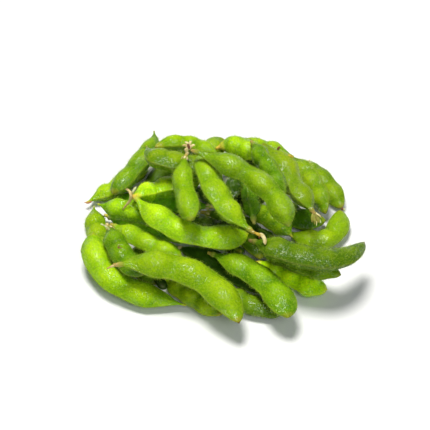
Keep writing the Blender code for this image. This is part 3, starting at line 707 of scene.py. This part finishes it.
slots = {row["node"]: row["material_slot"] for row in frame["record"]["subparts"]}
# Three copies of one skin: lighter for the pods on top and darker for those below, which is painted light and shade.
skins = {
    "pod_skin_light": skin_material("skin_light", (0.095, 0.265, 0.0005, 1), (0.265, 0.505, 0.001, 1), (0.440, 0.680, 0.004, 1), 1.0, 1.0),
    "pod_skin": skin_material("skin_middle", (0.080, 0.235, 0.0005, 1), (0.230, 0.455, 0.001, 1), (0.390, 0.630, 0.003, 1), 1.0, 0.9),
    "pod_skin_deep": skin_material("skin_deep", (0.028, 0.085, 0.001, 1), (0.070, 0.165, 0.001, 1), (0.140, 0.260, 0.002, 1), 0.6, 0.15),
}
dry = dry_material("dry_leaf_and_stalk")
bristle = Nodes("hair")
bristle.put(bristle.shader.inputs["Base Color"], (0.42, 0.60, 0.04, 1))
bristle.shader.inputs["Roughness"].default_value = 0.35

hair_points, hair_faces, hair_total = [], [], 0
leaf_parts = []
for number, p in enumerate(PODS):
    p["place"] = place_of(p)
    p["relief"] = 0.075 * p["length"] / p["beans"] * RELIEF.get(p["name"], 0.8)
    hidden = p["name"].startswith(("base_", "deep_"))
    rows, cols = (90, 40) if hidden else (150, 60)
    seed = 101 + 13 * number
    f = roughen(fine_surface(p, rows, cols, seed), seed)
    rng = f["rng"]
    stem = np.clip((4.5 - f["from_stalk"]) / 3.2, 0, 1) if p["stalk"] else np.clip((2.5 - f["from_stalk"]) / 2.5, 0, 1) * 0.75
    tip = np.clip((2.6 - f["from_beak"]) / 2.6, 0, 1) * BROWN_TIP.get(p["name"], 0.62)
    world = stood(f["points"], p)
    # paint carries each pod's gain, which is its own tone together with painted light and shade.
    # sky: how far the skin faces up, which the skin material reads for its painted shade on the undersides.
    part = dict(grid=world, own=f["points"] * MM + np.array([0.3 * number, 0.17 * (number % 5), 0]),
                swell=np.clip(f["swell"], 0, 1) * f["inside"], bean=f["bean"] * f["inside"], seam=f["seam"], stem=stem, tip=tip,
                sky=turn(f["normal"], p)[..., 2], paint=np.array([*TONE_AND_LIGHT.get(p["name"], (1.0, 1.0)), 1.0]),
                tint_and_shade=TINT_AND_SHADE.get(p["name"], 0.0) + rng.uniform(-0.15, 0.15))
    slot_name = slots[p["name"]]
    # The deep skin is painted dark as painted shade, and is only for what lies in the dark of the heap.
    skin_name = "pod_skin" if slot_name == "pod_skin_deep" and (not hidden or p["name"] in ("base_left", "base_mid_left")) else slot_name
    ob = as_piece(p["name"] + "_pod", closed_mesh(p["name"] + "_pod", [part]), skins[skin_name])
    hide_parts(p["name"])
    if p["stalk"] and p["name"] not in BARE:
        flare, long = LEAVES.get(p["name"], (0.25, 2.0))
        leaf_parts += flower_leaves(p, rng, flare, long) + stalk_of(p, rng, 0.6)
    if not hidden:
        turned_normal = turn(f["normal"], p)
        along = np.gradient(world, axis=0)
        along /= np.maximum(np.linalg.norm(along, axis=-1, keepdims=True), 1e-9)
        count = int(HAIRS_PER_POD * p["length"] / 45 * (1))
        co, faces = hairs_on(world, turned_normal, along, count, rng, f["inside"] * (0.6 + 0.8 * f["seam"]))
        hair_faces.append(faces + hair_total)
        hair_points.append(co)
        hair_total += len(co)

strap_rng = np.random.default_rng(77)
shift = np.mean([p["place"][:2] - np.array(p["at"]) for p in PODS], axis=0)
leaf_parts += [strap(shade, [(x + shift[0], y + shift[1], z, w) for x, y, z, w in stations], strap_rng) for shade, stations in STRAPS]
as_piece("flower_leaves", closed_mesh("flower_leaves", leaf_parts), dry)
hair_mesh = bpy.data.meshes.new("short_hairs")
hair_mesh.from_pydata((np.concatenate(hair_points) * MM).tolist(), [], np.concatenate(hair_faces).tolist())
as_piece("short_hairs", hair_mesh, bristle.mat)

# ---- floor, light, camera ----
offset = np.mean([p["place"][:2] - np.array(p["at"]) for p in PODS], axis=0)

floor_mesh = bpy.data.meshes.new("floor")
floor_mesh.from_pydata([(-3, -3, 0), (3, -3, 0), (3, 3, 0), (-3, 3, 0)], [], [(0, 1, 2, 3)])
floor = bpy.data.objects.new("floor", floor_mesh)
bpy.context.scene.collection.objects.link(floor)
paper = Nodes("pale_floor")
paper.put(paper.shader.inputs["Base Color"], paper.mix(paper.range(paper.noise(3.0), 0.3, 0.7), (0.86, 0.865, 0.875, 1), (0.88, 0.88, 0.885, 1)))
paper.shader.inputs["Roughness"].default_value = 0.55
floor_mesh.materials.append(paper.mat)

world = bpy.data.worlds.new("studio")
bpy.context.scene.world = world
world.use_nodes = True
world.node_tree.nodes["Background"].inputs["Color"].default_value = (0.93, 0.96, 1.0, 1)
world.node_tree.nodes["Background"].inputs["Strength"].default_value = 0.10


def area(name, at, size, power, colour, to=(0, 0, 0.015)):
    data = bpy.data.lights.new(name, "AREA")
    data.shape = "DISK"
    data.size = size
    data.energy = power
    data.color = colour
    ob = bpy.data.objects.new(name, data)
    bpy.context.scene.collection.objects.link(ob)
    ob.location = at
    ob.rotation_euler = (Vector(to) - Vector(at)).to_track_quat("-Z", "Y").to_euler()
    return ob


area("window", (-0.12, 0.14, 1.08), 0.46, 13.3, (1.0, 0.985, 0.94))
area("fill", (0.25, -0.80, 0.75), 0.60, 4.2, (0.97, 0.99, 1.0))

camera_data = bpy.data.cameras.new("camera")
camera = bpy.data.objects.new("camera", camera_data)
bpy.context.scene.collection.objects.link(camera)
bpy.context.scene.camera = camera
ELEVATION, DISTANCE, MM_PER_PIXEL, FRAME_PIXELS = 43.0, 700.0, 0.45, 430
aim = np.array([-3.2 + offset[0], 10.4 + offset[1], 10.0])
e = math.radians(ELEVATION)
camera.location = Vector((aim - DISTANCE * np.array([0, math.cos(e), -math.sin(e)])) * MM)
camera.rotation_euler = (math.radians(90) - e, 0, 0)
camera_data.sensor_width = 36.0
camera_data.lens = DISTANCE / MM_PER_PIXEL / FRAME_PIXELS * 36.0
camera_data.clip_start, camera_data.clip_end = 0.05, 20.0

bpy.context.scene.view_settings.view_transform = "Standard"
